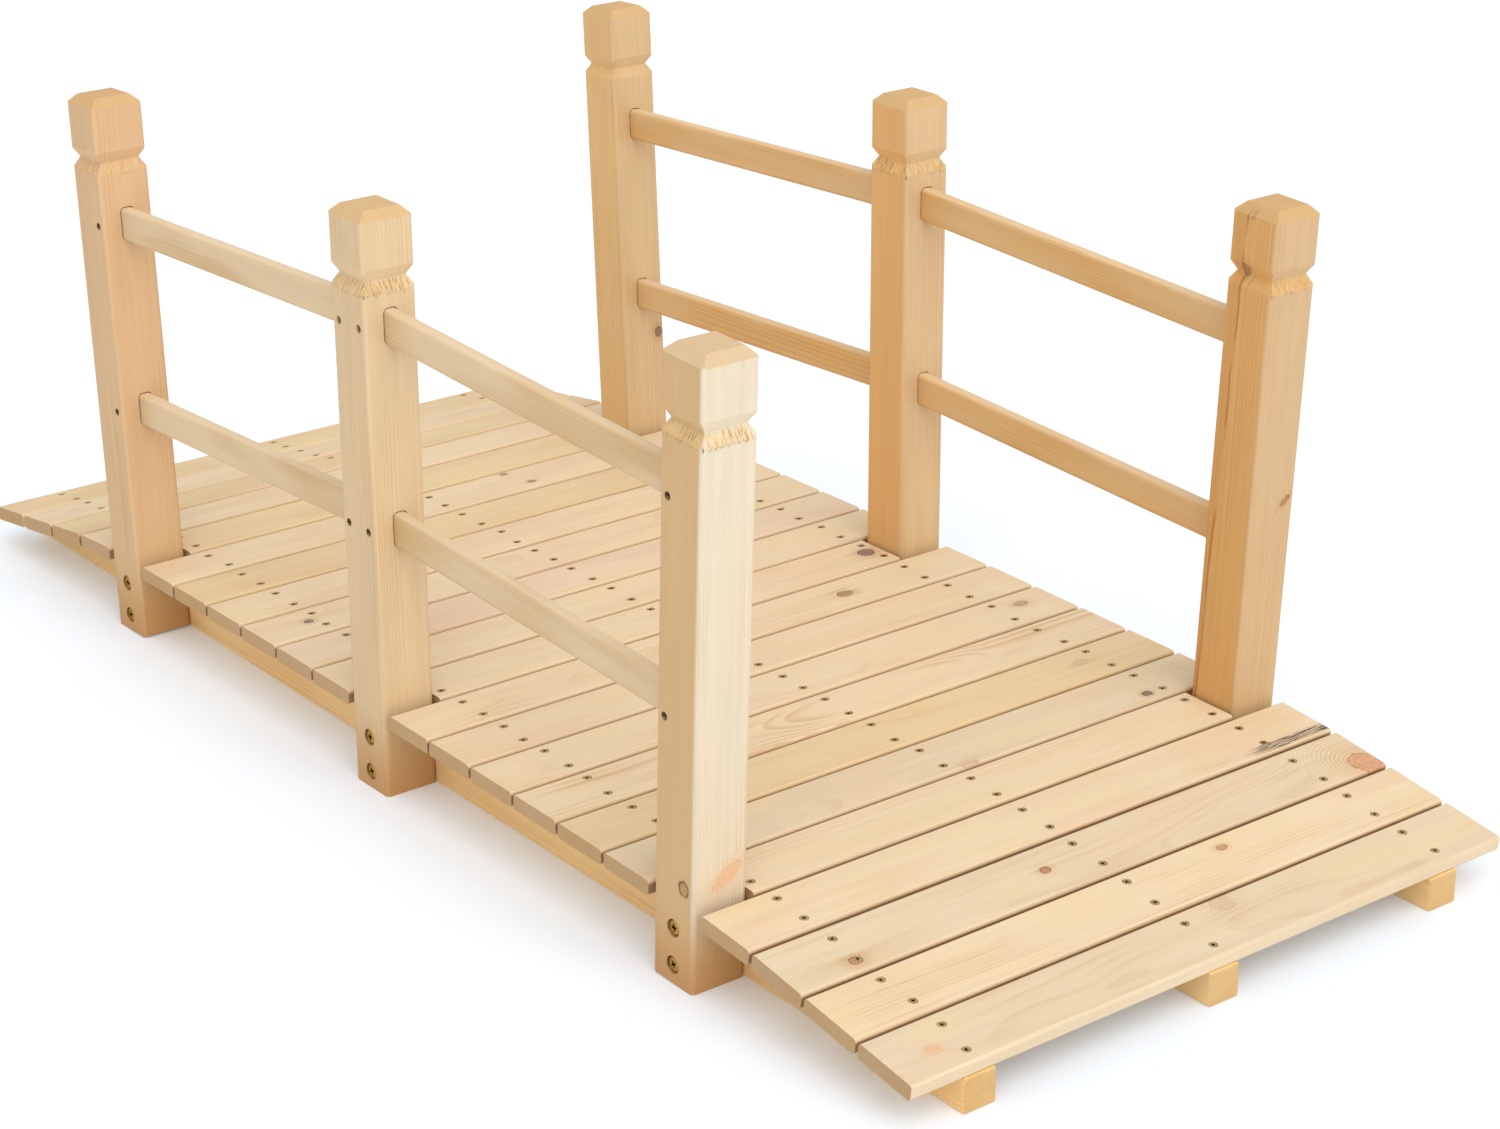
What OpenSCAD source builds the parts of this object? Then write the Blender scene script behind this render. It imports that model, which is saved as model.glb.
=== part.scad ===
// Wooden garden footbridge: a low arched plank deck on three stringers, with a
// post-and-rail guard along each side.
// X runs along the walkway, Y across it and Z up. The origin is on the floor,
// under the middle of the deck. The front side is at -Y and the right end at +X.

/* [Deck] */
// Distance from one plank to the next, along the top of the stringers
plank_pitch = 65.6; // [56:0.2:76]
// Gap between neighbouring planks
plank_gap = 3.6; // [2:0.2:8]
// Thickness of the planks
plank_t = 14; // [10:0.5:22]
// Length of a full plank, across the walkway
plank_len = 655; // [560:1:760]
// Radius of the planks' rounded long edges
plank_round = 3; // [1:0.5:6]
// Gap between the end of a short plank and the post that it stops at
short_plank_gap = 4; // [1:0.5:10]

/* [Stringers] */
// Thickness of each stringer
stringer_t = 32; // [20:1:50]
// Distance between the outer faces of the two outer stringers
stringer_spread = 550; // [400:2:640]
// Height of the stringers at the crown of the arch
crown_h = 70; // [50:1:120]
// Radius of the arch between the end posts
arch_r = 21800; // [8000:100:60000]
// Downward slope of the stringers' straight ends, in degrees
ramp_slope = 8.4; // [2:0.1:12]

/* [Posts] */
// Width of the square posts
post_w = 53; // [42:0.5:60]
// Length of a post from its foot to the flat of its head
post_len = 544; // [480:1:640]
// Radius of the posts' rounded long edges
post_round = 4; // [1:0.5:8]
// Outward lean of the end posts, in degrees, which is also the fall of the rails
post_lean = 2.5; // [0:0.1:6]
// Width and height of the chamfer around the top of a post's head
head_chamfer = 8.5; // [4:0.5:14]
// Height of the straight sides of a post's head, between the chamfer and the groove
head_h = 42.5; // [30:0.5:60]
// Height of the V groove below a post's head
groove_h = 21; // [12:0.5:26]
// Depth of the V groove below a post's head
groove_depth = 6; // [3:0.5:9]

/* [Rails] */
// Thickness of a rail, across the bridge
rail_t = 13; // [9:0.5:24]
// Height of a rail
rail_h = 32; // [24:1:40]
// Radius of the rails' rounded long edges
rail_round = 4; // [1:0.5:6]
// Distance from the bottom of the middle posts' groove down to the upper rails' centre line
upper_rail_drop = 31; // [24:1:80]
// Height of the lower rails' centre line where they leave the middle posts
lower_rail_z = 254; // [200:1:300]
// Length of a rail's end inside its mortise
rail_tenon = 18; // [8:0.5:23]
// Gap around a rail in its mortise, at the sides, the top and the end
mortise_gap = 1; // [0.5:0.1:1.5]

/* [Screw recesses] */
// Diameter of the recesses for the screws that hold the posts to the stringers
foot_recess_d = 15.5; // [10:0.5:18]
// Height of the lower foot recess above the post's foot
foot_recess_low = 16.5; // [10:0.5:24]
// Height of the upper foot recess above the post's foot
foot_recess_high = 50.5; // [36:0.5:60]
// Diameter of the recesses for the screws that hold the rails in the posts
rail_recess_d = 7; // [5:0.5:9]
// Distance of the rail recesses from the middle of the post's face
rail_recess_x = 16; // [12:0.5:18]
// Depth of all the screw recesses
recess_depth = 5; // [2:0.5:8]

/* [Hidden] */

$fn = 48;
// Overshoot of cutting shapes past the faces that they cut
over = 5;
front = -1;
back = 1;
left = -1;
right = 1;

plank_color = "#e9d2aa";
post_color = "#dfc393";
rail_color = "#d8b884";
stringer_color = "#c79c66";

// Planks are counted from the middle one, 0, to the end ones, 11.
last_plank = 11;
post_plank = 7;
knee_plank = post_plank + 1;

plank_w = plank_pitch - plank_gap;
post_y = stringer_spread / 2 + post_w / 2;
short_plank_len = stringer_spread - 2 * short_plank_gap;
mortise_depth = rail_tenon + mortise_gap;
groove_bottom = post_len - head_chamfer - head_h - groove_h;
upper_rail_z = groove_bottom - upper_rail_drop;

// Place, [x, z], on the arch at a distance s along it from the crown, and the slope there
function arch_slope(s) = s / arch_r * 180 / PI;
function arch_place(s) = [
    arch_r * sin(arch_slope(s)),
    crown_h - arch_r * (1 - cos(arch_slope(s)))
];
function downhill(slope) = [cos(slope), -sin(slope)];

// The stringers' top is a row of flats, each one plank long: small steps around the
// arch, one knee, and the straight ramp. seam_place(k) is the outer end of flat k.
knee_start = arch_place((post_plank + 0.5) * plank_pitch);
knee_slope = (arch_slope((post_plank + 0.5) * plank_pitch) + ramp_slope) / 2;
ramp_start = knee_start + plank_pitch * downhill(knee_slope);
function seam_place(k) =
    k <= post_plank ? arch_place((k + 0.5) * plank_pitch)
    : ramp_start + (k - knee_plank) * plank_pitch * downhill(ramp_slope);
ramp_end = seam_place(last_plank);

// Middle of the flat under a plank, [x, z], and the flat's slope
function plank_place(k) =
    k == 0 ? [0, seam_place(0).y] : (seam_place(k - 1) + seam_place(k)) / 2;
function plank_slope(k) =
    k <= post_plank ? arch_slope(k * plank_pitch)
    : k == knee_plank ? knee_slope
    : ramp_slope;

// Middle of an end post's foot, [x, z]: the post crosses the deck at its own short
// plank, and the outer edge of its foot stands on the floor.
foot_z = post_w / 2 * sin(post_lean);
post_deck = arch_place(post_plank * plank_pitch);
end_foot = [post_deck.x - (post_deck.y - foot_z) * tan(post_lean), foot_z];

// Clear length of a rail between its two posts, and its height up the end post,
// from its height at the middle post. The rails meet the end posts at a right angle.
function rail_span(z) =
    (end_foot.x - post_w / 2) * cos(post_lean) + (z - foot_z) * sin(post_lean) - post_w / 2;
function rail_end_height(z) =
    (z - foot_z) * cos(post_lean) - (end_foot.x - post_w / 2) * sin(post_lean);

// Flat bar section with rounded corners, centred on the origin
module rounded_bar(w, h, r) {
    square([w - 2 * r, h], center = true);
    square([w, h - 2 * r], center = true);
    for (x = [-1, 1], y = [-1, 1])
        translate([x * (w / 2 - r), y * (h / 2 - r)])
            circle(r);
}

function mirrored(points) = [for (i = [len(points) - 1:-1:0]) [-points[i].x, points[i].y]];

// Side view of a stringer: flat foot, low arch, then a knee and a straight ramp at each end
module stringer_side() {
    arch = [for (k = [post_plank:-1:0]) seam_place(k)];
    right_half = concat([[ramp_end.x, 0], ramp_end, ramp_start], arch);
    polygon(concat(right_half, mirrored(right_half)));
}

module stringer(y) {
    color(stringer_color)
        translate([0, y, 0])
            rotate([90, 0, 0])
                linear_extrude(stringer_t, center = true)
                    stringer_side();
}

module front_stringer() {
    stringer(-(stringer_spread - stringer_t) / 2);
}

module middle_stringer() {
    stringer(0);
}

module back_stringer() {
    stringer((stringer_spread - stringer_t) / 2);
}

// A plank by its place in the row, from -11 at the left end to 11 at the right
module deck_plank(place) {
    k = abs(place);
    at = plank_place(k);
    at_post = k == 0 || k == post_plank;
    color(plank_color)
        translate([sign(place) * at.x, 0, at.y])
            rotate([90, sign(place) * plank_slope(k), 0])
                linear_extrude(at_post ? short_plank_len : plank_len, center = true)
                    translate([0, plank_t / 2])
                        rounded_bar(plank_w, plank_t, plank_round);
}

// Outline of a post from one side. It is wider than the post where the sides are
// straight, so that only the groove and the chamfer cut into the square section.
module post_outline() {
    groove_z = groove_bottom + groove_h / 2;
    wide = post_w / 2 + over;
    groove_reach = groove_h / 2 * (groove_depth + over) / groove_depth;
    right_side = [
        [wide, -over],
        [wide, groove_z - groove_reach],
        [post_w / 2 - groove_depth, groove_z],
        [wide, groove_z + groove_reach],
        [wide, post_len - head_chamfer - over],
        [post_w / 2 - head_chamfer, post_len]
    ];
    polygon(concat(right_side, mirrored(right_side)));
}

// Square post with rounded edges, a V groove and a chamfered head, standing on its foot
module post_blank() {
    intersection() {
        linear_extrude(post_len)
            rounded_bar(post_w, post_w, post_round);
        rotate([90, 0, 0])
            linear_extrude(post_w + 2 * over, center = true)
                post_outline();
        rotate([90, 0, 90])
            linear_extrude(post_w + 2 * over, center = true)
                post_outline();
    }
}

// Mortise that opens at the origin towards +X. The rail rests on its flat bottom.
module mortise() {
    translate([-mortise_depth, 0, 0])
        rotate([90, 0, 90])
            linear_extrude(mortise_depth + over)
                translate([0, mortise_gap / 2])
                    rounded_bar(rail_t + 2 * mortise_gap, rail_h + mortise_gap, rail_round + mortise_gap);
}

// Round recess in the post's outer face, at +Y
module screw_recess(x, z, d) {
    translate([x, post_w / 2 - recess_depth, z])
        rotate([-90, 0, 0])
            cylinder(d = d, h = recess_depth + over);
}

module foot_recesses() {
    for (z = [foot_recess_low, foot_recess_high])
        screw_recess(0, z, foot_recess_d);
}

module middle_post() {
    difference() {
        post_blank();
        for (z = [upper_rail_z, lower_rail_z], end = [0, 1])
            mirror([end, 0, 0]) {
                translate([post_w / 2, 0, z])
                    rotate([0, post_lean, 0])
                        mortise();
                screw_recess(rail_recess_x, z, rail_recess_d);
            }
        foot_recesses();
    }
}

// End post with +X as its outer end
module end_post() {
    difference() {
        post_blank();
        for (z = [rail_end_height(upper_rail_z), rail_end_height(lower_rail_z)]) {
            translate([-post_w / 2, 0, z])
                mirror([1, 0, 0])
                    mortise();
            screw_recess(-rail_recess_x, z, rail_recess_d);
        }
        foot_recesses();
    }
}

// Puts a post with its outer face at +Y on the front or the back of the bridge
module on_side(side) {
    mirror([0, side == front ? 1 : 0, 0])
        translate([0, post_y, 0])
            children();
}

module at_end(end) {
    mirror([end == left ? 1 : 0, 0, 0])
        children();
}

module standing_middle_post(side) {
    color(post_color)
        on_side(side)
            middle_post();
}

module standing_end_post(side, end) {
    color(post_color)
        on_side(side)
            at_end(end)
                translate([end_foot.x, 0, end_foot.y])
                    rotate([0, post_lean, 0])
                        end_post();
}

module rail(side, end, z) {
    color(rail_color)
        on_side(side)
            at_end(end)
                translate([post_w / 2, 0, z])
                    rotate([0, post_lean, 0])
                        translate([-rail_tenon, 0, 0])
                            rotate([90, 0, 90])
                                linear_extrude(rail_span(z) + 2 * rail_tenon)
                                    rounded_bar(rail_t, rail_h, rail_round);
}

module front_post_left() {
    standing_end_post(front, left);
}

module front_post_middle() {
    standing_middle_post(front);
}

module front_post_right() {
    standing_end_post(front, right);
}

module back_post_left() {
    standing_end_post(back, left);
}

module back_post_middle() {
    standing_middle_post(back);
}

module back_post_right() {
    standing_end_post(back, right);
}

module front_upper_rail_left() {
    rail(front, left, upper_rail_z);
}

module front_upper_rail_right() {
    rail(front, right, upper_rail_z);
}

module front_lower_rail_left() {
    rail(front, left, lower_rail_z);
}

module front_lower_rail_right() {
    rail(front, right, lower_rail_z);
}

module back_upper_rail_left() {
    rail(back, left, upper_rail_z);
}

module back_upper_rail_right() {
    rail(back, right, upper_rail_z);
}

module back_lower_rail_left() {
    rail(back, left, lower_rail_z);
}

module back_lower_rail_right() {
    rail(back, right, lower_rail_z);
}

front_stringer();
middle_stringer();
back_stringer();
front_post_left();
front_post_middle();
front_post_right();
back_post_left();
back_post_middle();
back_post_right();
front_upper_rail_left();
front_upper_rail_right();
front_lower_rail_left();
front_lower_rail_right();
back_upper_rail_left();
back_upper_rail_right();
back_lower_rail_left();
back_lower_rail_right();
deck_plank(-11);  // deck_plank_01
deck_plank(-10);  // deck_plank_02
deck_plank(-9);  // deck_plank_03
deck_plank(-8);  // deck_plank_04
deck_plank(-7);  // deck_plank_05
deck_plank(-6);  // deck_plank_06
deck_plank(-5);  // deck_plank_07
deck_plank(-4);  // deck_plank_08
deck_plank(-3);  // deck_plank_09
deck_plank(-2);  // deck_plank_10
deck_plank(-1);  // deck_plank_11
deck_plank(0);  // deck_plank_12
deck_plank(1);  // deck_plank_13
deck_plank(2);  // deck_plank_14
deck_plank(3);  // deck_plank_15
deck_plank(4);  // deck_plank_16
deck_plank(5);  // deck_plank_17
deck_plank(6);  // deck_plank_18
deck_plank(7);  // deck_plank_19
deck_plank(8);  // deck_plank_20
deck_plank(9);  // deck_plank_21
deck_plank(10);  // deck_plank_22
deck_plank(11);  // deck_plank_23
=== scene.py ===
"""Looks of a wooden garden footbridge: pine boards, screws, torn grain, floor, light and camera."""
import math
import random
from collections import namedtuple

import bmesh
import bpy
from mathutils import Matrix, Vector
from mathutils.geometry import delaunay_2d_cdt


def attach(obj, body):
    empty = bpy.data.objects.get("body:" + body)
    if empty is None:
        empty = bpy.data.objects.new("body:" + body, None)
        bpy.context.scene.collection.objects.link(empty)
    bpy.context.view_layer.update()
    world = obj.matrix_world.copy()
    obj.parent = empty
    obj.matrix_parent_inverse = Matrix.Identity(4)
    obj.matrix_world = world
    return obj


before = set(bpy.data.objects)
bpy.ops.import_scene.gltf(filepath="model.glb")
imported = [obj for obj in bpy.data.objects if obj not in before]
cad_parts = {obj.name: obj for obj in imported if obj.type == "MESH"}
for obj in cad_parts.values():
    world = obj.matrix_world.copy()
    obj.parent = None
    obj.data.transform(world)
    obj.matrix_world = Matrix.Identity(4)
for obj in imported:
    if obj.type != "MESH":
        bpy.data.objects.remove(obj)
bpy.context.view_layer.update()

MM = 0.001
X, Y, Z = Vector((1, 0, 0)), Vector((0, 1, 0)), Vector((0, 0, 1))


def tone(code):
    """Linear colour of a web colour code."""
    channels = [int(code[i:i + 2], 16) / 255 for i in (1, 3, 5)]
    return [c / 12.92 if c <= 0.04045 else ((c + 0.055) / 1.055) ** 2.4 for c in channels] + [1.0]


# Boards: each CAD node's own axes, so that the grain follows its length.

class Board:
    """Centre, axes (length, width, normal) and half sizes of a CAD node, in metres."""

    def __init__(self, name, length, normal):
        self.name = name
        self.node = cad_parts[name]
        mesh = self.node.data
        facing = Vector()
        for face in mesh.polygons:
            if face.normal.dot(normal) > 0.9:
                facing += face.area * face.normal
        self.normal = facing.normalized()
        self.length = (length - length.dot(self.normal) * self.normal).normalized()
        self.width = self.length.cross(self.normal)
        spans = []
        for axis in self.axes():
            places = [v.co.dot(axis) for v in mesh.vertices]
            spans.append((min(places), max(places)))
        self.centre = sum(((lo + hi) / 2 * axis for (lo, hi), axis in zip(spans, self.axes())), Vector())
        self.half = [(hi - lo) / 2 for lo, hi in spans]

    def axes(self):
        return self.length, self.width, self.normal

    def place(self, along, across, depth):
        """Place, in the shared frame, of a point given in millimetres from the board's centre."""
        return self.centre + MM * (along * self.length + across * self.width + depth * self.normal)

    def turn(self):
        """Rotation that lays X along the board and Z out of its face."""
        return Matrix((self.length, self.normal.cross(self.length), self.normal)).transposed()


POSTS = ["%s_post_%s" % (side, place)
         for side in ("front", "back") for place in ("left", "middle", "right")]
RAILS = ["%s_%s_rail_%s" % (side, level, end)
         for side in ("front", "back") for level in ("upper", "lower") for end in ("left", "right")]
STRINGERS = ["front_stringer", "middle_stringer", "back_stringer"]
PLANKS = ["deck_plank_%02d" % i for i in range(1, 24)]

boards = {}
for name in PLANKS:
    boards[name] = Board(name, Y, Z)
for name in POSTS:
    boards[name] = Board(name, Z, X)
for name in RAILS:
    boards[name] = Board(name, X, Z)
for name in STRINGERS:
    boards[name] = Board(name, X, Y)


# Shaders are written as arithmetic on signals, which become Math nodes.

class Signal:
    """One number that varies over a surface."""

    def __init__(self, shader, socket):
        self.shader = shader
        self.socket = socket

    def __add__(self, other):
        return self.shader.math("ADD", self, other)

    def __radd__(self, other):
        return self.shader.math("ADD", other, self)

    def __sub__(self, other):
        return self.shader.math("SUBTRACT", self, other)

    def __rsub__(self, other):
        return self.shader.math("SUBTRACT", other, self)

    def __mul__(self, other):
        return self.shader.math("MULTIPLY", self, other)

    def __truediv__(self, other):
        return self.shader.math("DIVIDE", self, other)

    def __abs__(self):
        return self.shader.math("ABSOLUTE", self)

    def smooth(self, low, high):
        """0 below low and 1 above high, with a soft step between."""
        step = self.shader.node("MapRange", {0: self, 1: low, 2: high}, interpolation_type="SMOOTHSTEP")
        return Signal(self.shader, step.outputs[0])


class Shader:
    """A material whose node tree is built by expressions."""

    def __init__(self, name):
        self.material = bpy.data.materials.new(name)
        self.material.use_nodes = True
        self.tree = self.material.node_tree
        self.surface = next(n for n in self.tree.nodes if n.type == "BSDF_PRINCIPLED")

    def feed(self, socket, value):
        value = value.socket if isinstance(value, Signal) else value
        if isinstance(value, bpy.types.NodeSocket):
            self.tree.links.new(value, socket)
        else:
            socket.default_value = value

    def node(self, kind, inputs, **settings):
        made = self.tree.nodes.new("ShaderNode" + kind)
        for key, value in settings.items():
            setattr(made, key, value)
        for key, value in inputs.items():
            self.feed(made.inputs[key], value)
        return made

    def math(self, operation, *values):
        return Signal(self, self.node("Math", dict(enumerate(values)), operation=operation).outputs[0])

    def root(self, *values):
        """Length of a vector given by its parts."""
        total = values[0] * values[0]
        for value in values[1:]:
            total = total + value * value
        return self.math("SQRT", total)

    def vector(self, x, y, z):
        return self.node("CombineXYZ", {0: x, 1: y, 2: z}).outputs[0]

    def dot(self, vector, axis):
        made = self.node("VectorMath", {0: vector, 1: axis}, operation="DOT_PRODUCT")
        return Signal(self, made.outputs["Value"])

    def place(self):
        """Place of the shaded point, in metres, as three signals."""
        split = self.node("SeparateXYZ", {0: self.node("TexCoord", {}).outputs["Object"]})
        return [Signal(self, out) for out in split.outputs]

    def noise(self, x, y, z, detail=2.0, rough=0.5):
        """Soft random signal, about 0.5 on average."""
        made = self.node("TexNoise", {"Vector": self.vector(x, y, z), "Scale": 1.0, "Detail": detail,
                                      "Roughness": rough})
        return Signal(self, made.outputs[0])

    def mix(self, share, a, b):
        """Colour a, or b where share is 1."""
        return self.node("Mix", {0: share, 6: a, 7: b}, data_type="RGBA").outputs[2]

    def scale(self, color, factor):
        return self.node("VectorMath", {0: color, 3: factor}, operation="SCALE").outputs[0]

    def wear(self, color, rough, height, depth, **constants):
        """Sets the surface: its colour, its roughness and its relief, depth metres deep."""
        bump = self.node("Bump", {"Strength": 1.0, "Distance": depth, "Height": height})
        self.feed(self.surface.inputs["Base Color"], color)
        self.feed(self.surface.inputs["Roughness"], rough)
        self.feed(self.surface.inputs["Normal"], bump.outputs[0])
        for name, value in constants.items():
            self.surface.inputs[name.replace("_", " ")].default_value = value


# Pine. Lengths are in millimetres, and the noises' first two numbers are steps per millimetre along the
# grain and across it.

# The axes of a board, in the order of its half sizes
LENGTH, WIDTH, NORMAL = 0, 1, 2

# A knot's face is the board axis that its branch runs along, and along and beside are its place there.
Knot = namedtuple("Knot", "face along beside size stretch turn kind")

# A kind of knot: tones of the core and the rim, how strongly they show, how strongly the grain around it
# shows, how many more rings bend around it, how soft its edge is, and the width of its rim.
KnotKind = namedtuple("KnotKind", "core rim strength grain bent soft rim_width")
KNOTS = {
    "mauve": KnotKind("#8d6a58", "#5d3f34", 0.85, 0.35, 0, 0.12, 0.9),
    "brown": KnotKind("#ad8257", "#77512f", 0.80, 0.40, 0, 0.12, 0.9),
    "ring": KnotKind("#bf9762", "#664827", 0.95, 0.15, 0, 0.10, 1.9),
    "red": KnotKind("#bd8455", "#7f4d2b", 0.85, 0.45, 0, 0.12, 0.9),
    "flame": KnotKind("#d39a72", "#a9623a", 0.75, 0.80, 14, 0.20, 1.2),
    "faint": KnotKind("#cfae92", "#b08d70", 0.50, 0.30, 0, 0.30, 0.9),
    "peach": KnotKind("#e2b58d", "#d6a276", 0.80, 0.12, 0, 0.40, 0.3),
}

# How far a knot seems to move away below its own face, so that it ends inside the board
KNOT_FADE = 60

# Depth of the fibres' relief, in metres
PINE_RELIEF = 0.00016

# The posts' grooves: their lower edge below the top of the head, and their height and depth
GROOVE_BOTTOM = 72
GROOVE_H = 21
GROOVE_DEPTH = 6

# Tones of sapwood, heartwood and late rings
TONES = {
    "cream": ("#e3cca9", "#dfc49d", "#c9a473"),
    "pink": ("#e2caac", "#debfa0", "#c8a27b"),
    "honey": ("#dec59a", "#d9bb8c", "#c59d66"),
    "pale": ("#dcc7a7", "#d7c09c", "#c5a575"),
    "ivory": ("#dcccb2", "#cda876", "#c8a673"),
    "tan": ("#d8bd95", "#ccaa7a", "#ba8f58"),
    "rosy": ("#d3ad82", "#c9a673", "#b3835a"),
    "amber": ("#d1b084", "#ddac6e", "#b58246"),
    "gold": ("#cdad80", "#dab278", "#b58246"),
    "russet": ("#cba97d", "#d6a566", "#b07b40"),
    "apricot": ("#f4cd90", "#efc280", "#cf9a5c"),
    "orange": ("#d8b27e", "#d6a86a", "#b58246"),
}


class Wood:
    """The pine of one board: places on it in millimetres, its noises, colour, roughness and relief."""

    def __init__(self, board):
        self.board = board
        self.shader = Shader(board.name + "_pine")
        luck = random.Random(board.name)
        self.seed = [luck.uniform(0, 500) for _ in range(3)]
        coordinates = self.shader.node("TexCoord", {})
        self.normal = coordinates.outputs["Normal"]
        place = coordinates.outputs["Object"]
        self.along, self.across, self.depth = [
            self.shader.dot(place, axis / MM) - board.centre.dot(axis) / MM for axis in board.axes()
        ]
        self.sway = self.noise(0.0035, 0.012, 1.0) - 0.5
        self.blotch = self.noise(0.006, 0.02, 1.0)
        self.fibre = self.noise(0.018, 0.9, 1.0, 0.6)
        self.fine = self.noise(0.05, 2.6, 1.0)
        self.streak = self.noise(0.004, 0.16, 1.0)
        self.color = None
        self.rough = None
        self.height = None

    def noise(self, long, wide, detail=2.0, rough=0.5):
        """Random signal that is stretched along the grain."""
        x = self.along * long + self.seed[0]
        y = self.across * wide + self.seed[1]
        z = self.depth * wide + self.seed[2]
        return self.shader.noise(x, y, z, detail, rough)

    def facing(self, axis):
        """1 where the surface looks along an axis, 0 where it looks across it and -1 where it looks back."""
        return self.shader.dot(self.normal, axis)

    def tint(self, share, code):
        self.color = self.shader.mix(share, self.color, tone(code))

    def shade(self, factor):
        self.color = self.shader.scale(self.color, factor)


def growth_rings(wood, pith, lean, bow, bow_at, bow_end, spacing, drift):
    """Number of rings from the pith, which leans, bows and wanders along the board."""
    beside = wood.across - pith[0] - wood.along * lean[0] + wood.sway * drift * 4
    above = wood.depth - pith[1] - wood.along * lean[1] + (wood.blotch - 0.5) * drift * 3
    if bow:
        arch = (wood.along - bow_at) / 100
        above = above - wood.shader.math("SMOOTH_MIN", arch * arch, bow_end, 0.5) * bow
    radius = wood.shader.root(beside, above)
    uneven = wood.shader.noise(radius * 0.11 + wood.seed[1], wood.seed[0], wood.seed[2], 0.0)
    return radius / spacing + uneven * 2.4


def knot_distance(wood, knot):
    """Distance from a knot's middle, which grows below the knot's own face."""
    across_knot = (wood.depth if knot.face == WIDTH else wood.across) - knot.beside
    along_knot = wood.along - knot.along
    c = math.cos(math.radians(knot.turn))
    s = math.sin(math.radians(knot.turn))
    long_part = (along_knot * c + across_knot * s) / knot.stretch
    away = wood.shader.root(long_part, across_knot * c - along_knot * s)
    surface = wood.board.half[knot.face] / MM
    toward_face = wood.depth if knot.face == NORMAL else 0 - wood.across
    return away + toward_face.smooth(surface - 8, surface - 16) * KNOT_FADE


def bend_rings(wood, rings, knot, away, pith, spacing):
    """Rings that bend around a knot."""
    surface = wood.board.half[knot.face] / MM
    if knot.face == NORMAL:
        from_pith = math.hypot(surface - pith[1], knot.beside - pith[0])
    else:
        from_pith = math.hypot(knot.beside - pith[1], -surface - pith[0])
    bent = KNOTS[knot.kind].bent
    pitch = 3.2 if bent else 1.6
    around = from_pith / spacing + 1.2 - bent + (away - knot.size) / pitch
    return wood.shader.math("SMOOTH_MIN", rings, around, 3.5)


def paint_knot(wood, knot, away):
    """Halo, core, year rings and broken rim of a knot."""
    kind = KNOTS[knot.kind]
    ragged = away + (wood.noise(0.22, 0.22, 1.0) - 0.5) * knot.size * 0.5
    inside = ragged.smooth(knot.size * (1 + kind.soft), knot.size * (1 - kind.soft))
    halo = ragged.smooth(knot.size * 2.4, knot.size) * 0.22
    broken = wood.noise(0.16, 0.16, 1.0).smooth(0.28, 0.48)
    edge = (abs(ragged - knot.size * 0.94) / kind.rim_width).smooth(1.0, 0.0) * broken * kind.strength
    year = wood.shader.math("FRACT", ragged / (knot.size * 0.34)).smooth(0.25, 0.85)
    core = wood.shader.scale(tone(kind.core)[:3], 0.80 + wood.fibre * 0.36)
    wood.tint(halo, kind.core)
    wood.color = wood.shader.mix(inside * kind.strength, wood.color, core)
    wood.tint(inside * year * kind.strength * 0.45, kind.rim)
    wood.tint(edge, kind.rim)


def cut_ends(wood, code, share):
    """Cut ends show the pores: darker, warmer and duller than the faces."""
    end = abs(wood.facing(wood.board.length)).smooth(0.48, 0.74)
    pores = wood.noise(0.3, 1.7, 1.0, 0.7)
    cut = wood.shader.mix(0.70, wood.shader.scale(wood.color, 0.68 + pores * 0.34), tone(code))
    wood.color = wood.shader.mix(end * share, wood.color, cut)
    wood.rough = wood.rough + end * 0.15


def worn_edges(wood):
    """Edges are eased and handled a little, so they are smoother and slightly paler."""
    near_side = (abs(wood.across) - (wood.board.half[WIDTH] / MM - 3.5)).smooth(0.0, 3.0)
    near_face = (abs(wood.depth) - (wood.board.half[NORMAL] / MM - 3.5)).smooth(0.0, 3.0)
    worn = near_side * near_face * wood.streak.smooth(0.25, 0.75)
    wood.shade(1.0 + worn * 0.07)
    wood.rough = wood.rough - worn * 0.06


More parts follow.
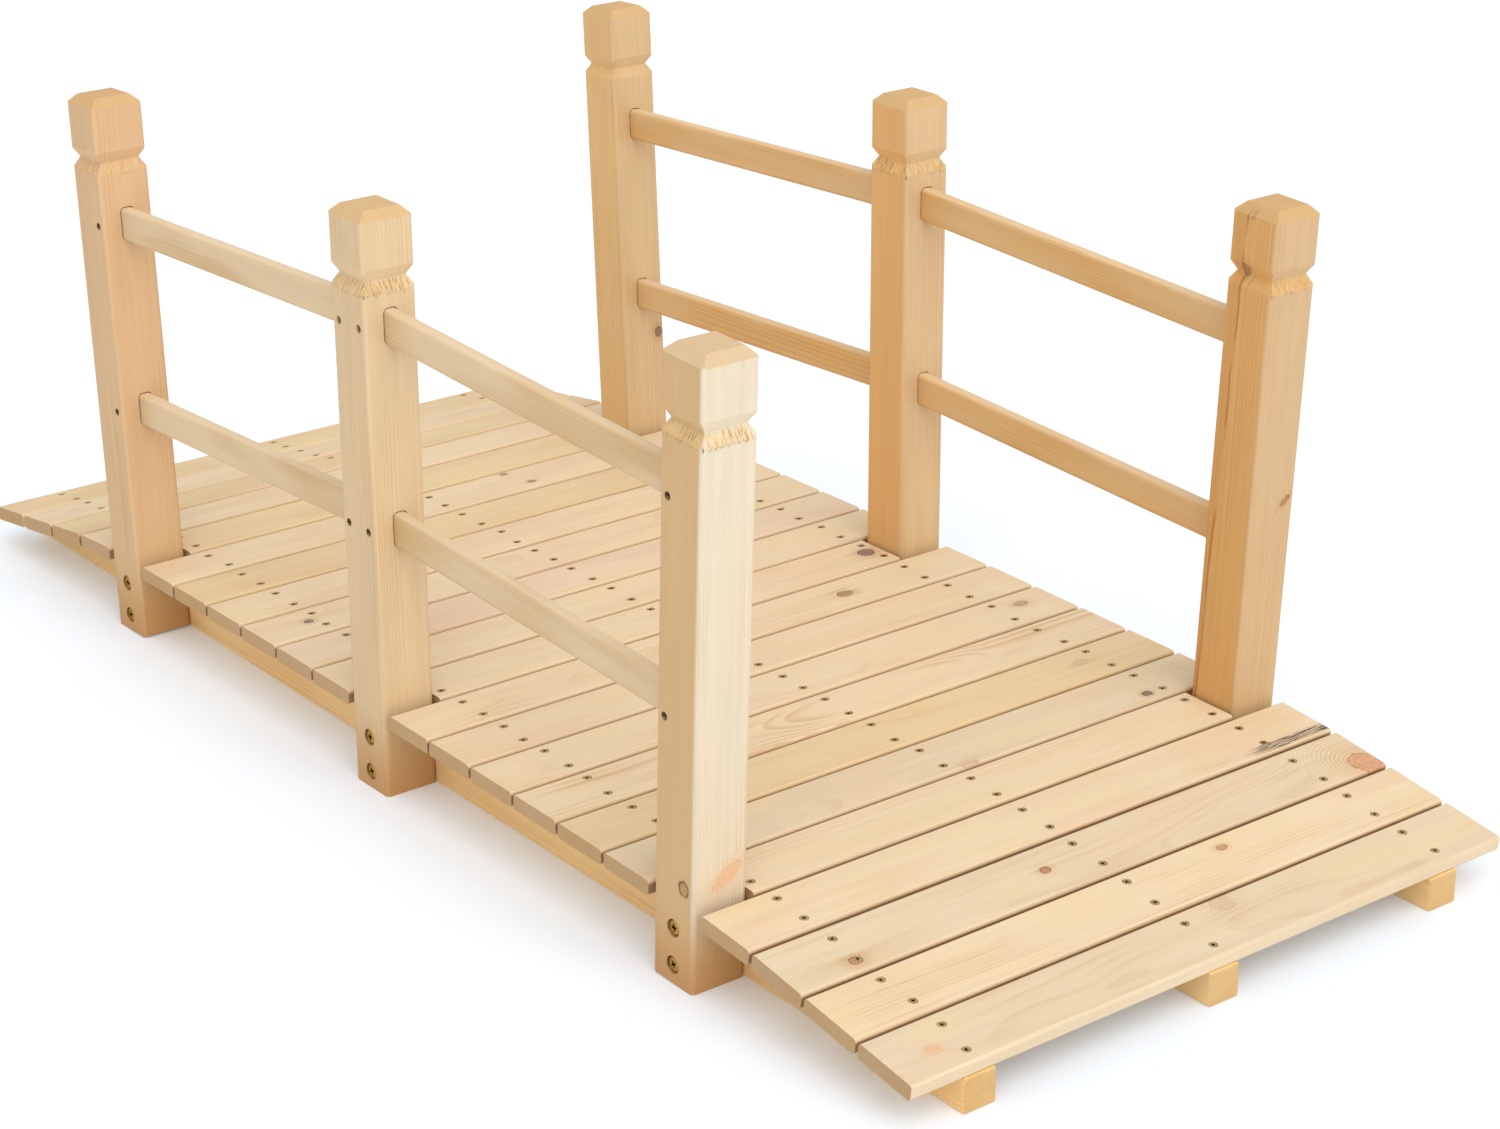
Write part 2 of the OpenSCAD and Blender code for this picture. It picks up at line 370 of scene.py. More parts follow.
def pine(board, style, pith, lean=(0, 0), bow=0, bow_at=0, bow_end=60, spacing=3, drift=4, strength=0.6,
         heart_at=None, end_tone=("#a97b45", 0.55), knots=(), finishes=()):
    """Planed pine as a solid block of growth rings around its pith, cut by the board's faces.

    pith is the pith's place across the board and through it, and lean how far it moves per millimetre along
    the board. bow raises it by its value times the square of the distance from bow_at, in units of 100 mm,
    and that square stops at bow_end. spacing is the width of a ring, drift how far the rings wander, and
    strength how dark the late rings are. heart_at gives the share of heartwood tone, which on the posts also
    paints shade and a highlight, end_tone the tone of the cut ends and its share.
    """
    wood = Wood(board)
    rings = growth_rings(wood, pith, lean, bow, bow_at, bow_end, spacing, drift)
    distances = [knot_distance(wood, knot) for knot in knots]
    boost = 0.0
    for knot, away in zip(knots, distances):
        rings = bend_rings(wood, rings, knot, away, pith, spacing)
        boost = boost + away.smooth(knot.size * 3.5, knot.size * 1.1) * KNOTS[knot.kind].grain
    phase = wood.shader.math("FRACT", rings)
    dark_ring = phase.smooth(0.30, 0.90) * (1 - phase.smooth(0.93, 1.0))
    patchy = wood.noise(0.006, 0.03, 1.0).smooth(0.40, 0.66) * 1.5
    dash = wood.fine.smooth(0.69, 0.76)

    sap, heart, late = TONES[style]
    # On the posts this share also paints shade on the -Y side, and on some a highlight by the +X corner.
    heartwood = heart_at(wood) if heart_at else wood.blotch.smooth(0.35, 0.8)
    wood.color = wood.shader.mix(heartwood, tone(sap), tone(heart))
    wood.tint(dark_ring * (patchy * strength + boost), late)
    wood.shade(1.0 + (wood.blotch - 0.5) * 0.10 + (wood.streak - 0.5) * 0.13 + (wood.fibre - 0.5) * 0.13
               + (wood.fine - 0.5) * 0.07 - dash * 0.10)
    for knot, away in zip(knots, distances):
        paint_knot(wood, knot, away)

    wood.height = wood.fibre * 0.8
    wood.rough = 0.60 + (wood.fibre - 0.5) * 0.25 - dark_ring * 0.06
    for finish in finishes:
        finish(wood)
    cut_ends(wood, *end_tone)
    worn_edges(wood)
    wood.shader.wear(wood.color, wood.rough, wood.height, PINE_RELIEF, Specular_IOR_Level=0.32)
    return wood.shader.material


def dress(name, style, **look):
    """Gives a CAD node its own cut of pine."""
    board = boards[name]
    material = pine(board, style, **look)
    for slot in board.node.material_slots:
        slot.link = "OBJECT"
        slot.material = material


# Planks.

def gap_sides_painted_shade(wood):
    """Tanned long edges of a plank, with painted shade on their lower part, deep in the gap that they face.
    """
    edge = abs(wood.facing(wood.board.width)).smooth(0.35, 0.95)
    wood.tint(edge * 0.35, "#b98a55")
    wood.tint(edge * wood.depth.smooth(5.2, 2.6) * 0.7, "#74441f")


def warm_patches(wood):
    """Rosy and yellow patches along a plank."""
    hue = wood.noise(0.007, 0.025, 1.0)
    wood.tint(hue.smooth(0.53, 0.72) * 0.30, "#e6c8b0")
    wood.tint(hue.smooth(0.47, 0.28) * 0.30, "#e4c88f")


def bark_edge(wood):
    """Bark along one edge near a plank's far end, broken by pale slivers, with splits trailing from it."""
    along, across = wood.along, wood.across
    there = along.smooth(226, 262)
    ragged = wood.noise(0.05, 0.42, 4.0, 0.65)
    strip = (across - 18.0 + (ragged - 0.5) * 11).smooth(-1.2, 1.2) * (29.0 - across).smooth(-0.8, 1.2)
    slivers = wood.noise(0.045, 1.15, 2.0).smooth(0.44, 0.56)
    bark = strip * there * slivers * wood.depth.smooth(2, 5)
    dark = wood.shader.mix(ragged.smooth(0.35, 0.75), tone("#2b1a15"), tone("#775c50"))
    trail = along.smooth(150, 240) * (1 - there)
    line = abs(across - 23.0 + (250 - along) * 0.035 + (wood.noise(0.02, 0.02) - 0.5) * 5)
    split = (line / 0.7).smooth(1.0, 0.2) * trail * wood.noise(0.03, 0.01, 1.0).smooth(0.35, 0.5)
    wood.tint(strip * there * 0.30, "#d9c0a6")
    wood.tint(split * 0.7, "#7c5836")
    wood.color = wood.shader.mix(bark * 0.95, wood.color, dark)
    wood.rough = wood.rough + bark * 0.2
    wood.height = wood.height - bark * 3.0


def face_knot(along, beside, size, stretch, kind, turn=0):
    """A knot in the face that a board's normal looks out of."""
    return Knot(NORMAL, along, beside, size, stretch, turn, kind)


# Planks that differ from cream, and the marks of single planks, counted from -X
PLANK_TONES = {
    "honey": (1, 3, 5, 7, 17),
    "pink": (10,),
    "pale": (18, 21, 23),
}
PLANK_LOOKS = {
    6: dict(knots=[face_knot(99, -24, 3.0, 1.4, "brown"), face_knot(110, 13, 3.0, 1.5, "brown")]),
    9: dict(knots=[face_knot(-272, 0, 4.0, 1.2, "mauve")]),
    12: dict(knots=[face_knot(254, -1, 8.0, 1.15, "mauve")]),
    13: dict(knots=[face_knot(170, 2, 6.0, 1.5, "brown")]),
    15: dict(knots=[face_knot(288, -7, 5.0, 1.6, "brown")]),
    16: dict(pith=(-3, -38), lean=(0, 0), bow=-4.2, bow_at=52, bow_end=1.9, spacing=2.5, strength=0.55,
             drift=0.7),
    17: dict(knots=[face_knot(240, -3, 4.5, 1.8, "faint")]),
    18: dict(knots=[face_knot(242, 17, 4.2, 1.3, "mauve"), face_knot(20, 29, 4.0, 2.0, "faint")]),
    20: dict(finishes=(warm_patches, gap_sides_painted_shade, bark_edge)),
    21: dict(pith=(22, -60), lean=(0, 0.06), bow=0.5, bow_at=330, spacing=3.4, strength=0.25,
             knots=[face_knot(-48, 0, 4.2, 1.25, "red"), face_knot(-263, 17, 5.0, 1.2, "red"),
                    face_knot(316, 20, 15.0, 1.25, "flame", turn=35)]),
    22: dict(knots=[face_knot(105, -15, 3.6, 1.5, "red")]),
    23: dict(knots=[face_knot(46, -21, 9.0, 1.25, "faint"), face_knot(-285, 5, 6.0, 1.3, "peach")]),
}

luck = random.Random(11)
for number, name in enumerate(PLANKS, 1):
    style = next((key for key, numbers in PLANK_TONES.items() if number in numbers), "cream")
    at_end = number in (1, len(PLANKS))
    flat_sawn = luck.random() < 0.45
    look = dict(
        pith=(luck.uniform(-25, 25), luck.choice((-1, 1)) * luck.uniform(45, 110)) if flat_sawn
        else (luck.choice((-1, 1)) * luck.uniform(60, 130), luck.uniform(-30, 30)),
        lean=(luck.uniform(-0.012, 0.012), luck.uniform(-0.03, 0.03)),
        spacing=luck.uniform(2.2, 3.6),
        strength=luck.uniform(0.14, 0.34),
        end_tone=("#a5783c", 0.92),
        finishes=(warm_patches,) if at_end else (warm_patches, gap_sides_painted_shade),
    )
    look.update(PLANK_LOOKS.get(number, {}))
    dress(name, style, **look)


# Posts. POST_MID turns a height above a post's foot into a place from its middle.

POST_MID = boards["front_post_middle"].half[LENGTH] / MM
FOOT_SCREWS = (16.5, 50.5)

# Radii of the recesses for the screws at a post's foot and at the rails, how far the latter are beside the
# post's middle, and how deep the rails go into the posts, as in the solids
FOOT_RECESS = 7.75
RAIL_RECESS = 3.5
RAIL_SCREW_X = 16
RAIL_TENON = 18


def outer_side(name):
    """The side of the bridge that a post stands on: -1 at the front, which is -Y, and 1 at the back."""
    return -1 if name.startswith("front") else 1


def rail_spots(name):
    """Places of a post's rail screws: height from the post's middle, and distance beside it."""
    board = boards[name]
    side, _, place = name.split("_")
    at_middle = place == "middle"
    spots = []
    for level in ("upper", "lower"):
        for end, beside in (("left", -RAIL_SCREW_X), ("right", RAIL_SCREW_X)):
            if at_middle or place == end:
                rail = boards["%s_%s_rail_%s" % (side, level, end)]
                reach = -1 if (end == "left") != at_middle else 1
                meet = rail.centre + reach * (rail.half[LENGTH] - RAIL_TENON * MM) * rail.length
                up = (meet - board.centre).dot(board.length) / MM
                spots.append((up, beside if at_middle else -beside))
    return spots


def torn_groove(shares, dark, light):
    """Torn end grain on the lower slope of a post's groove, and painted light on its upper slope, which
    looks down.

    shares gives how much of it shows on the sides that look along Y and along X.
    """

    def finish(wood):
        shader, board, along = wood.shader, wood.board, wood.along
        bottom = board.half[LENGTH] / MM - GROOVE_BOTTOM
        to_width = abs(wood.facing(board.width)).smooth(0.5, 0.8)
        share = to_width * shares[0] + (1 - to_width) * shares[1]
        beside = wood.across + (wood.depth - wood.across) * to_width
        start = random.Random(board.name + "_torn").uniform(0, 500)
        teeth = shader.noise(beside * 0.75 + start, along * 0.02, 0.0, 1.0, 0.6)
        dashes = shader.noise(beside * 0.80 + start, along * 0.07, 9.0, 2.0, 0.55)
        patches = wood.noise(0.05, 0.11, 1.0).smooth(0.25, 0.55)
        low = along - bottom + 1.2 + (teeth - 0.5) * 13
        band = low.smooth(-1.6, 1.6) * (bottom + GROOVE_H / 2 - 1.0 - along).smooth(-1.8, 1.8)
        tear = band * share * patches
        # Painted light: the upper slope that looks down is made paler, as if lit from below.
        painted_underside_light = wood.facing(-board.length).smooth(0.25, 0.45) * along.smooth(bottom, bottom + 6)
        wood.shade(1.0 + painted_underside_light * 0.10)
        wood.tint(tear * 0.55, light)
        wood.tint(tear * dashes.smooth(0.52, 0.64) * 0.8, dark)
        wood.rough = wood.rough + tear * 0.2
        wood.height = wood.height * (1 - tear) + dashes * tear * -7.0

    return finish


def pitch_streak(wood):
    """Resin streak down the inner face of a post from a knot in its groove, in broken lengths."""
    along, depth = wood.along, wood.depth
    groove = wood.board.half[LENGTH] / MM - GROOVE_BOTTOM + GROOVE_H / 2
    on_face = wood.across.smooth(-18, -24)
    wander = depth + 9.5 + (groove - along) * 0.028 + (wood.noise(0.010, 0.004) - 0.5) * 9
    thick = 0.7 + wood.noise(0.016, 0.004) * 2.4
    gaps = wood.noise(0.012, 0.001, 1.0).smooth(0.40, 0.52)
    line = (abs(wander) / thick).smooth(1.0, 0.2) * gaps
    beside = wander.smooth(3.0, -3.0) * (wander + 16).smooth(-2, 9)
    head = (abs(along - groove - 56) / 8).smooth(1.0, 0.3) * (abs(depth + 2) / 4.5).smooth(1.0, 0.2)
    wood.tint(beside * on_face * 0.42, "#c28849")
    wood.tint(line * on_face * 0.62, "#9a5c28")
    wood.tint(head * on_face * 0.6, "#8d6050")


def golden_foot_and_shade(wood):
    """Warm, darker colour towards a post's foot: a warmer tone, and painted shade below the deck."""
    foot = wood.along.smooth(85 - POST_MID, -5 - POST_MID)
    wood.tint(foot * 0.6, "#b07638")


def dark_recesses(name):
    """Shade and dirt on the walls of a post's screw recesses."""
    holes = [(up, beside, RAIL_RECESS, 0.9) for up, beside in rail_spots(name)]
    holes += [(up - POST_MID, 0, FOOT_RECESS, 0.7) for up in FOOT_SCREWS]

    def finish(wood):
        shade = 0.0
        for up, beside, radius, share in holes:
            from_axis = wood.shader.root(wood.along - up, wood.depth - beside)
            shade = shade + from_axis.smooth(radius + 0.5, radius - 0.1) * share
        wood.tint(shade * (wood.across * outer_side(name)).smooth(0, 5), "#3b2513")

    return finish


def heart_face_shade_and_highlight(wood):
    """Heartwood tone as painted shade on the -Y side, pale by the +X corner, and some at the foot."""
    foot = wood.along.smooth(110 - POST_MID, 10 - POST_MID)
    edge = wood.board.half[NORMAL] / MM
    # The pale strip beside the +X corner, left out of the heartwood, is a painted highlight.
    face = wood.facing(-wood.board.width).smooth(0.78, 0.87) * wood.depth.smooth(edge - 2, edge - 6)
    return wood.shader.math("MAXIMUM", face, foot * 0.9)


def heart_foot_and_shade(wood):
    """Heartwood that shows towards a post's foot, and a little on its -Y side as painted shade."""
    foot = wood.along.smooth(130 - POST_MID, 10 - POST_MID)
    face = wood.facing(-wood.board.width).smooth(0.80, 0.98) * 0.35
    return wood.shader.math("MAXIMUM", face, foot) + wood.sway * 0.4


# How a post looks: its tones, how torn its groove is, the dark and light tones of that, where its heartwood
# tone shows, which also paints shade and on some posts a highlight, its knots and its own finishes
PostLook = namedtuple("PostLook", "style torn dark light heart_at knots finishes")
POST_LOOKS = {
    "front_post_left": PostLook("rosy", (0.5, 0.4), "#a06a30", "#dcb67c", heart_foot_and_shade, (), [golden_foot_and_shade]),
    "front_post_middle": PostLook("tan", (0.9, 0.8), "#8d6424", "#e0c187", heart_foot_and_shade, (), [golden_foot_and_shade]),
    "front_post_right": PostLook("ivory", (1.0, 0.9), "#8f5f22", "#e6c88e", heart_face_shade_and_highlight, (
        Knot(WIDTH, 92 - POST_MID, 13.0, 6.2, 1.1, 0, "ring"),
        face_knot(101 - POST_MID, 6.5, 6.8, 2.5, "peach", turn=56),
    ), [golden_foot_and_shade]),
    "back_post_left": PostLook("gold", (0.15, 0.15), "#a8702f", "#e0b26a", heart_face_shade_and_highlight, (
        face_knot(187 - POST_MID, 19, 4.5, 1.2, "mauve"),
    ), []),
    "back_post_middle": PostLook("amber", (0.9, 0.5), "#7d4d1c", "#e3bd7c", heart_face_shade_and_highlight, (), []),
    "back_post_right": PostLook("russet", (0.1, 0.7), "#b5702c", "#e2b468", heart_face_shade_and_highlight, (
        Knot(WIDTH, 487 - POST_MID, -8.0, 4.6, 1.3, 0, "brown"),
        face_knot(275 - POST_MID, 15, 2.4, 2.6, "red", turn=50),
    ), [pitch_streak]),
}
for name, look in POST_LOOKS.items():
    finishes = [torn_groove(look.torn, look.dark, look.light)] + look.finishes + [dark_recesses(name)]
    dress(name, look.style, pith=(luck.uniform(-70, -40), luck.uniform(-70, 70)),
          lean=(luck.uniform(-0.008, 0.008), luck.uniform(-0.008, 0.008)), spacing=luck.uniform(2.4, 3.4),
          strength=0.20, drift=1.5, heart_at=look.heart_at, end_tone=("#cfa468", 0.75), knots=look.knots,
          finishes=finishes)


# Rails and stringers.

def painted_top_highlight(wood):
    """Painted highlight: paler wood where a rail looks up to the light."""
    wood.tint(wood.facing(Z).smooth(0.6, 0.95) * 0.35, "#e8d6ba")


for name in RAILS:
    style = "tan" if name.startswith("front") else "orange"
    dress(name, style, pith=(luck.uniform(-60, 60), luck.choice((-1, 1)) * luck.uniform(30, 70)),
          lean=(luck.uniform(-0.01, 0.01), luck.uniform(-0.02, 0.02)), spacing=luck.uniform(2.2, 3.2),
          strength=0.24, drift=2, finishes=(painted_top_highlight,))

for name in STRINGERS:
    knots = [face_knot(740, -18, 5.0, 1.2, "brown")] if name == "front_stringer" else ()
    dress(name, "apricot", pith=(luck.uniform(-30, 30), luck.choice((-1, 1)) * luck.uniform(40, 70)),
          lean=(0.004, luck.uniform(-0.01, 0.01)), spacing=3.2, strength=0.30, drift=3,
          end_tone=("#a8834f", 0.7), knots=knots)


# Eased edges of the CAD nodes.

def ease(name, width):
    """Rounds the sharp edges of a CAD node."""
    node = boards[name].node
    weld = node.modifiers.new("weld", "WELD")
    weld.merge_threshold = 0.00001
    bevel = node.modifiers.new("eased_edges", "BEVEL")
    bevel.width = width
    bevel.segments = 3
    bevel.limit_method = "ANGLE"
    bevel.angle_limit = math.radians(24)
    bevel.use_clamp_overlap = True
    bevel.harden_normals = False


# Widths of the eased edges, in metres
for names, edge in ((PLANKS, 0.0010), (POSTS, 0.0009), (STRINGERS, 0.0016)):
    for name in names:
        ease(name, edge)


# Screws.

def mesh_piece(name, mesh):
    """Adds a mesh to the bridge as a piece of its own."""
    piece = bpy.data.objects.new(name, mesh)
    bpy.context.scene.collection.objects.link(piece)
    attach(piece, "root")


# Sides of what is round on the screws and their countersinks
ROUND_SIDES = 28


def circle(radius, count):
    """Points around a circle."""
    turns = [math.tau * i / count for i in range(count)]
    return [(radius * math.cos(turn), radius * math.sin(turn)) for turn in turns]


def cross(arm, half_width, root):
    """Outline of a cross with softly joined arms."""
    quarter = [(arm, -half_width), (arm, half_width), (root, root)]
    points = []
    for i in range(4):
        c = round(math.cos(i * math.pi / 2))
        s = round(math.sin(i * math.pi / 2))
        points += [(x * c - y * s, x * s + y * c) for x, y in quarter]
    return points


def screw_head(radius, rise, sunk):
    """Countersunk cross-head screw, head up at the origin: points in mm, and (corners, material) faces."""
    rings = [(radius, -sunk), (radius, -0.35), (radius - 0.25, -0.05), (radius * 0.78, rise * 0.7)]
    sides = ROUND_SIDES
    arm = radius * 0.50
    outline = cross(arm, radius * 0.11, radius * 0.16)
    floor = cross(arm * 0.62, radius * 0.07, radius * 0.11)
    points, faces = [], []
    for r, z in rings:
        points += [(x, y, z) for x, y in circle(r, sides)]
    for ring in range(len(rings) - 1):
        for i in range(sides):
            j = (i + 1) % sides
            a, b = ring * sides, (ring + 1) * sides
            faces.append(((a + i, a + j, b + j, b + i), 0))
    flat = circle(rings[-1][0], sides) + outline
    rim = [(i, (i + 1) % sides) for i in range(sides)]
    slot = [(sides + (i + 1) % len(outline), sides + i) for i in range(len(outline))]
    found, _, triangles, _, _, _ = delaunay_2d_cdt([Vector(p) for p in flat], rim + slot, [], 0, 1e-6)
    base = (len(rings) - 1) * sides
    first = len(points)
    points += [(x, y, rise) for x, y in outline]

    def index(i):
        return base + i if i < sides else first + i - sides

    inside = [Vector(p) for p in outline]
    for triangle in triangles:
        middle = sum((found[i] for i in triangle), Vector((0, 0))) / 3
        if not within(middle, inside):
            faces.append((tuple(index(i) for i in triangle), 0))
    second = len(points)
    points += [(x, y, rise - radius * 0.42) for x, y in floor]
    count = len(outline)
    for i in range(count):
        j = (i + 1) % count
        faces.append(((first + i, first + j, second + j, second + i), 1))
    faces.append((tuple(range(second, second + count)), 1))
    faces.append((tuple(reversed(range(sides))), 0))
    return points, faces


def within(point, outline):
    """Whether a point lies inside a closed outline."""
    odd = False
    for i, a in enumerate(outline):
        b = outline[i - 1]
        if (a.y > point.y) != (b.y > point.y):
            if point.x < (b.x - a.x) * (point.y - a.y) / (b.y - a.y) + a.x:
                odd = not odd
    return odd


def gather(name, shape, places, materials):
    """One mesh of many copies of a shape, each at a place given by a matrix."""
    points, faces = shape
    mesh = bpy.data.meshes.new(name)
    all_points, all_faces, slots = [], [], []
    for place in places:
        start = len(all_points)
        all_points += [place @ (MM * Vector(p)) for p in points]
        for corners, material in faces:
            all_faces.append([start + c for c in corners])
            slots.append(material)
    mesh.from_pydata(all_points, [], all_faces)
    for material in materials:
        mesh.materials.append(material)
    mesh.polygons.foreach_set("material_index", slots)
    mesh.polygons.foreach_set("use_smooth", [True] * len(all_faces))
    mesh.set_sharp_from_angle(angle=math.radians(35))
    mesh_piece(name, mesh)


def metal(name, bright, dull, rough):
    """Plated steel with a mottled, slightly scuffed plating."""
    shader = Shader(name)
    x, y, z = shader.place()
    mottle = shader.noise(x * 900, y * 900, z * 900, 3.0, 0.6)
    scuff = shader.noise(x * 3200, y * 2400, z * 3000, 2.0)
    color = shader.mix(mottle.smooth(0.3, 0.7), tone(bright), tone(dull))
    shader.wear(color, rough + (scuff - 0.5) * 0.3, scuff, 0.00003, Metallic=1.0,
                Specular_Tint=tone(bright))
    return shader.material


brass = metal("brass_plating", "#d2a862", "#94703a", 0.42)
deck_plating = metal("deck_plating", "#dfcca2", "#a08a60", 0.45)
# Dark plating mottled with gold patches, which are a painted glint.
dark_brass_painted_glint = metal("dark_plating", "#4a3114", "#b98d45", 0.5)
# Near-black drive recesses: painted shade in the screws' crosses.
drive_painted_shade = metal("drive_recess", "#3a2a1a", "#1c140c", 0.6)


def frame_at(origin, along, outward, twist):
    """Matrix that puts a screw at origin with its head looking outward, turned by twist degrees."""
    side = outward.cross(along).normalized()
    turn = Matrix((along.normalized(), side, outward)).transposed().to_4x4()
    return Matrix.Translation(origin) @ turn @ Matrix.Rotation(math.radians(twist), 4, "Z")


# Places of the deck screws on a plank, in millimetres: rows over the stringers, and pairs across the plank
DECK_ROWS = (-260, 0, 260)
DECK_PAIR = (-17, 17)
jitter = random.Random(5)
deck_places = []
sinks = {}
for name in PLANKS:
    board = boards[name]
    top = board.half[NORMAL] / MM
    for row in DECK_ROWS:
        for side in DECK_PAIR:
            spot = board.place(row + jitter.uniform(-2.5, 2.5), side + jitter.uniform(-2.2, 2.2), top)
            sinks.setdefault(name, []).append(spot)
            sunk = jitter.uniform(0.0002, 0.0007)
            deck_places.append(frame_at(spot - sunk * board.normal, board.length, board.normal,
                                        jitter.uniform(0, 90)))
gather("deck_screws", screw_head(4.0, 0.10, 1.6), deck_places, [deck_plating, drive_painted_shade])

# Depths of the screw heads below a post's face, and how far the foot screws sit off their recess's middle
# (up and to the side), in millimetres
FOOT_SUNK = 0.9
RAIL_SUNK = 2.0
FOOT_OFF_UP = 0.5
FOOT_OFF_SIDE = 0.6
foot_places = []
rail_places = []
for name in POSTS:
    board = boards[name]
    side = outer_side(name)
    face = side * board.half[WIDTH] / MM
    for up in FOOT_SCREWS:
        spot = board.place(up - POST_MID + FOOT_OFF_UP, face - side * FOOT_SUNK, FOOT_OFF_SIDE)
        foot_places.append(frame_at(spot, board.length, side * Y, jitter.uniform(0, 90)))
    for up, beside in rail_spots(name):
        spot = board.place(up, face - side * RAIL_SUNK, beside)
        rail_places.append(frame_at(spot, board.length, side * Y, jitter.uniform(0, 90)))
gather("foot_screws", screw_head(6.6, 0.5, 3.0), foot_places, [brass, drive_painted_shade])
gather("rail_screws", screw_head(2.7, 0.25, 2.0), rail_places, [dark_brass_painted_glint, drive_painted_shade])


# Cutter of a countersink, in metres: its radii at the bottom and the top, its height, and how far its
# middle lies below the plank's top
SINK_LOW_RADIUS = 0.0028
SINK_TOP_RADIUS = 0.0048
SINK_HEIGHT = 0.0028
SINK_MIDDLE = 0.0008


def countersinks(name, spots):
    """Hidden cutter that makes the screws' countersinks in a plank."""
    board = boards[name]
    made = bmesh.new()
    for spot in spots:
        place = Matrix.Translation(spot - SINK_MIDDLE * board.normal) @ board.turn().to_4x4()
        bmesh.ops.create_cone(made, cap_ends=True, cap_tris=False, segments=ROUND_SIDES,
                              radius1=SINK_LOW_RADIUS, radius2=SINK_TOP_RADIUS,
                              depth=SINK_HEIGHT, matrix=place)
    mesh = bpy.data.meshes.new(name + "_countersinks")
    made.to_mesh(mesh)
    made.free()
    cutter = bpy.data.objects.new(mesh.name, mesh)
    bpy.context.scene.collection.objects.link(cutter)
    cutter.hide_render = True
    cutter.hide_viewport = True
    cut = board.node.modifiers.new("countersinks", "BOOLEAN")
    cut.operation = "DIFFERENCE"
    cut.solver = "EXACT"
    cut.object = cutter


for name, spots in sinks.items():
    countersinks(name, spots)


# Torn fibres at the posts' grooves.

# Slivers on one side of a groove that is torn all over
MOST_SLIVERS = 30


def fibres(name, shares):
    """Fine slivers of wood that stand from the lower slope of a post's groove."""
    board = boards[name]
    half_w = board.half[WIDTH] / MM
    bottom = board.half[LENGTH] / MM - GROOVE_BOTTOM
    slope = GROOVE_DEPTH / (GROOVE_H / 2)
    chance = random.Random(name + "_fibres")
    points, faces = [], []
    for axis, share in ((WIDTH, shares[0]), (NORMAL, shares[1])):
        for sign in (-1, 1):
            for _ in range(int(MOST_SLIVERS * share)):
                side = chance.uniform(-1, 1) * (half_w - 5)
                width = chance.uniform(0.14, 0.30)
                top = chance.uniform(3.5, 9.0)
                drop = chance.uniform(-1.0, 4.0)
                lift = chance.uniform(0.05, 0.40)
                line = [
                    (top, -slope * top - 0.15, width),
                    (top * 0.45, -slope * top * 0.45 + lift, width),
                    (min(0.0, -drop * 0.5), 0.05 + lift, width * 0.7),
                    (min(-0.3, -drop), -0.05, 0.06),
                ]
                first = len(points)
                for up, out, half in line:
                    for across, rise in ((-half, -0.2), (0, 0.18), (half, -0.2)):
                        spot = [bottom + up, 0, 0]
                        spot[axis] = sign * (half_w + out + rise)
                        spot[3 - axis] = side + across
                        points.append(board.place(*spot))
                for step in range(len(line) - 1):
                    a, b = first + 3 * step, first + 3 * step + 3
                    for i, j in ((0, 1), (1, 2), (2, 0)):
                        faces.append((a + i, a + j, b + j, b + i))
                faces.append((first, first + 2, first + 1))
                last = first + 3 * len(line) - 3
                faces.append((last, last + 1, last + 2))
    mesh = bpy.data.meshes.new(name + "_torn_grain")
    mesh.from_pydata(points, [], faces)
    mesh.materials.append(torn_wood)
    fixed = bmesh.new()
    fixed.from_mesh(mesh)
    bmesh.ops.recalc_face_normals(fixed, faces=fixed.faces)
    fixed.to_mesh(mesh)
    fixed.free()
    mesh_piece(mesh.name, mesh)


shader = Shader("torn_wood")
x, y, z = shader.place()
mottle = shader.noise(x * 700, y * 700, z * 60, 3.0)
torn_color = shader.mix(mottle.smooth(0.35, 0.65), tone("#c79a5c"), tone("#e6cb98"))
shader.wear(torn_color, 0.75 + mottle * 0.1, mottle, 0.00005, Specular_IOR_Level=0.25)
torn_wood = shader.material

# Posts whose grooves are torn less than this get no slivers
LEAST_TORN = 0.3
for name, look in POST_LOOKS.items():
    if max(look.torn) > LEAST_TORN:
        fibres(name, look.torn)


# Floor, light and camera.

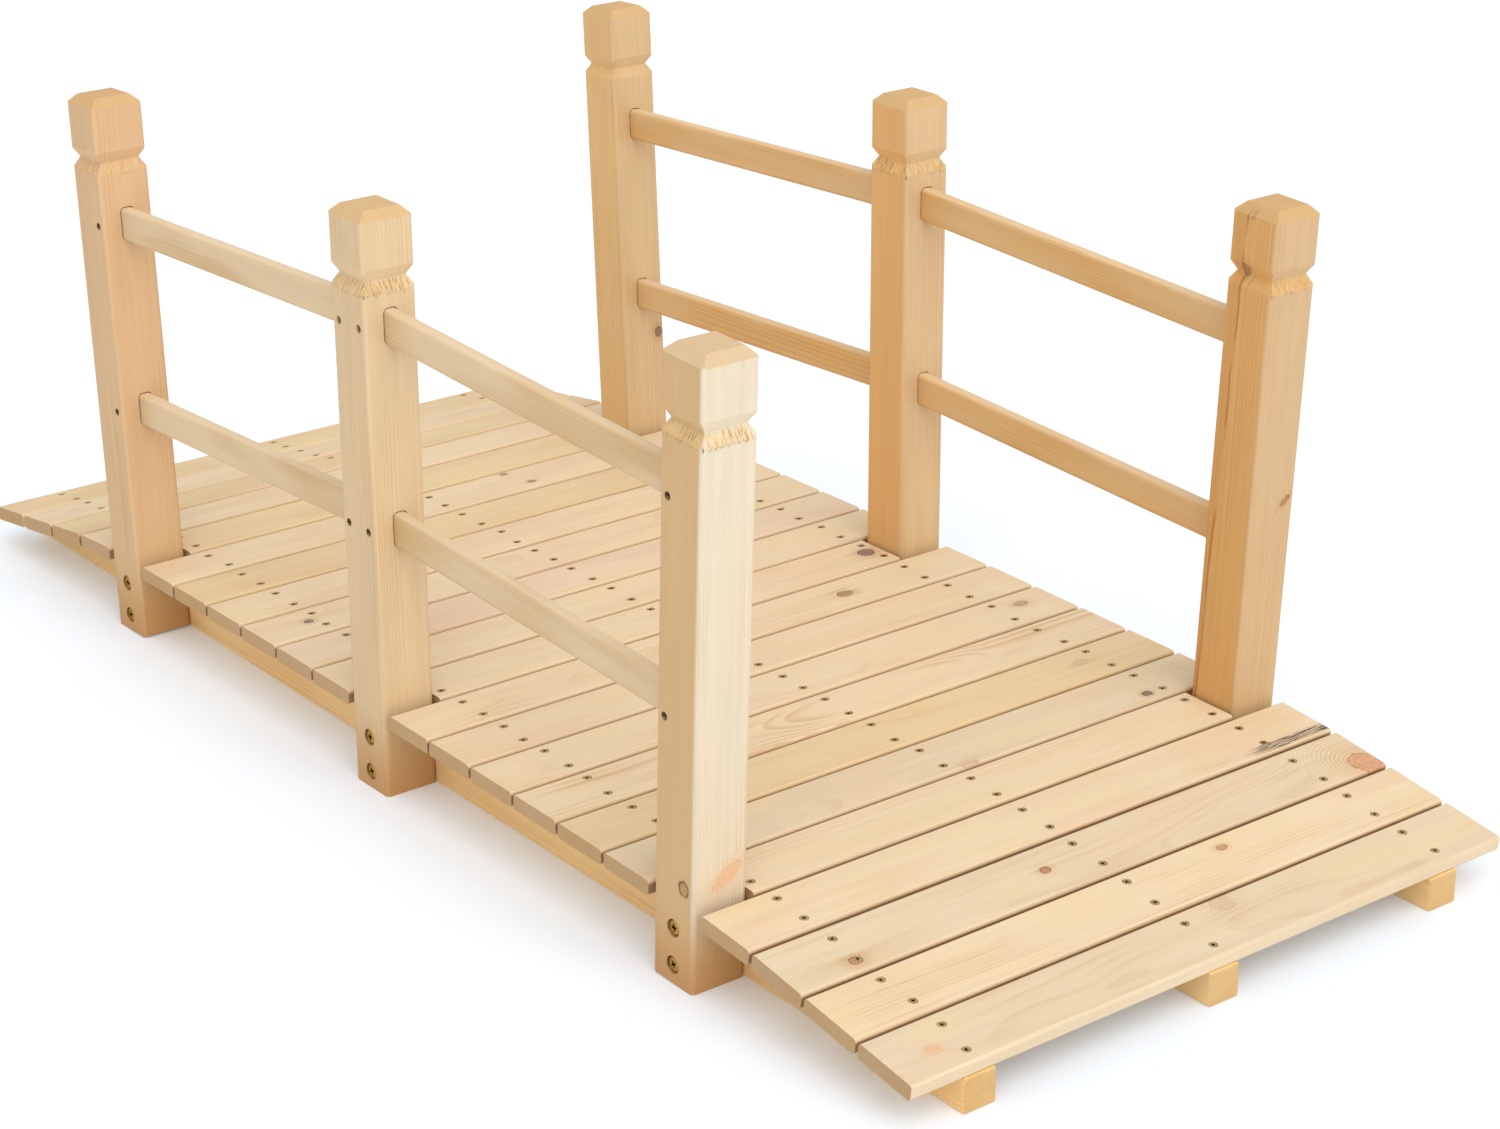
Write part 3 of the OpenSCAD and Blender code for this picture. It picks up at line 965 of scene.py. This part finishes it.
# Half the floor's side, in metres
FAR = 30
floor_mesh = bpy.data.meshes.new("floor")
floor_mesh.from_pydata([(-FAR, -FAR, 0), (FAR, -FAR, 0), (FAR, FAR, 0), (-FAR, FAR, 0)], [], [(0, 1, 2, 3)])
floor = bpy.data.objects.new("floor", floor_mesh)
bpy.context.scene.collection.objects.link(floor)
shader = Shader("pale_floor")
x, y, _ = shader.place()
floor_color = shader.mix(shader.noise(x * 3, y * 3, 0.0), tone("#e9eff7"), tone("#edf3fa"))
floor_rough = 0.9 + shader.noise(x, y, 1.0) * 0.05
floor_relief = shader.noise(x * 40, y * 40, 0.0)
# The floor's faint glow is painted light: it lifts the shadows on it and lights the bridge from below.
shader.wear(floor_color, floor_rough, floor_relief, 0.0001, Specular_IOR_Level=0.1,
            Emission_Color=(1.0, 1.0, 1.0, 1.0), Emission_Strength=0.08)
floor_mesh.materials.append(shader.material)

world = bpy.data.worlds.new("studio")
world.use_nodes = True
backdrop = next(n for n in world.node_tree.nodes if n.type == "BACKGROUND")
backdrop.inputs["Color"].default_value = (1.0, 1.0, 1.0, 1.0)
backdrop.inputs["Strength"].default_value = 0.79
bpy.context.scene.world = world


def soft_sun(name, toward, strength, spread):
    """Large soft lamp that shines from the direction toward."""
    light = bpy.data.lights.new(name, "SUN")
    light.energy = strength
    light.angle = math.radians(spread)
    lamp = bpy.data.objects.new(name, light)
    lamp.rotation_euler = Vector(toward).to_track_quat("Z", "Y").to_euler()
    bpy.context.scene.collection.objects.link(lamp)


soft_sun("key_light", (0.75, -0.25, 0.90), 1.45, 60)
soft_sun("side_light", (1.0, 0.10, 0.30), 0.35, 80)

# The camera's lens, place and directions come from a fit to the photograph.
view = bpy.data.cameras.new("camera")
view.lens = 79.54
view.sensor_width = 36
view.sensor_fit = "HORIZONTAL"
camera = bpy.data.objects.new("camera", view)
right = Vector((0.61363, 0.78958, -0.00332))
down = Vector((0.29701, -0.23472, -0.92558))
ahead = Vector((-0.73160, 0.56698, -0.37855))
turn = Matrix((right, -down, -ahead)).transposed().to_4x4()
camera.matrix_world = Matrix.Translation((2.34982, -1.71462, 1.32444)) @ turn
bpy.context.scene.collection.objects.link(camera)
bpy.context.scene.camera = camera
bpy.context.scene.view_settings.view_transform = "Standard"
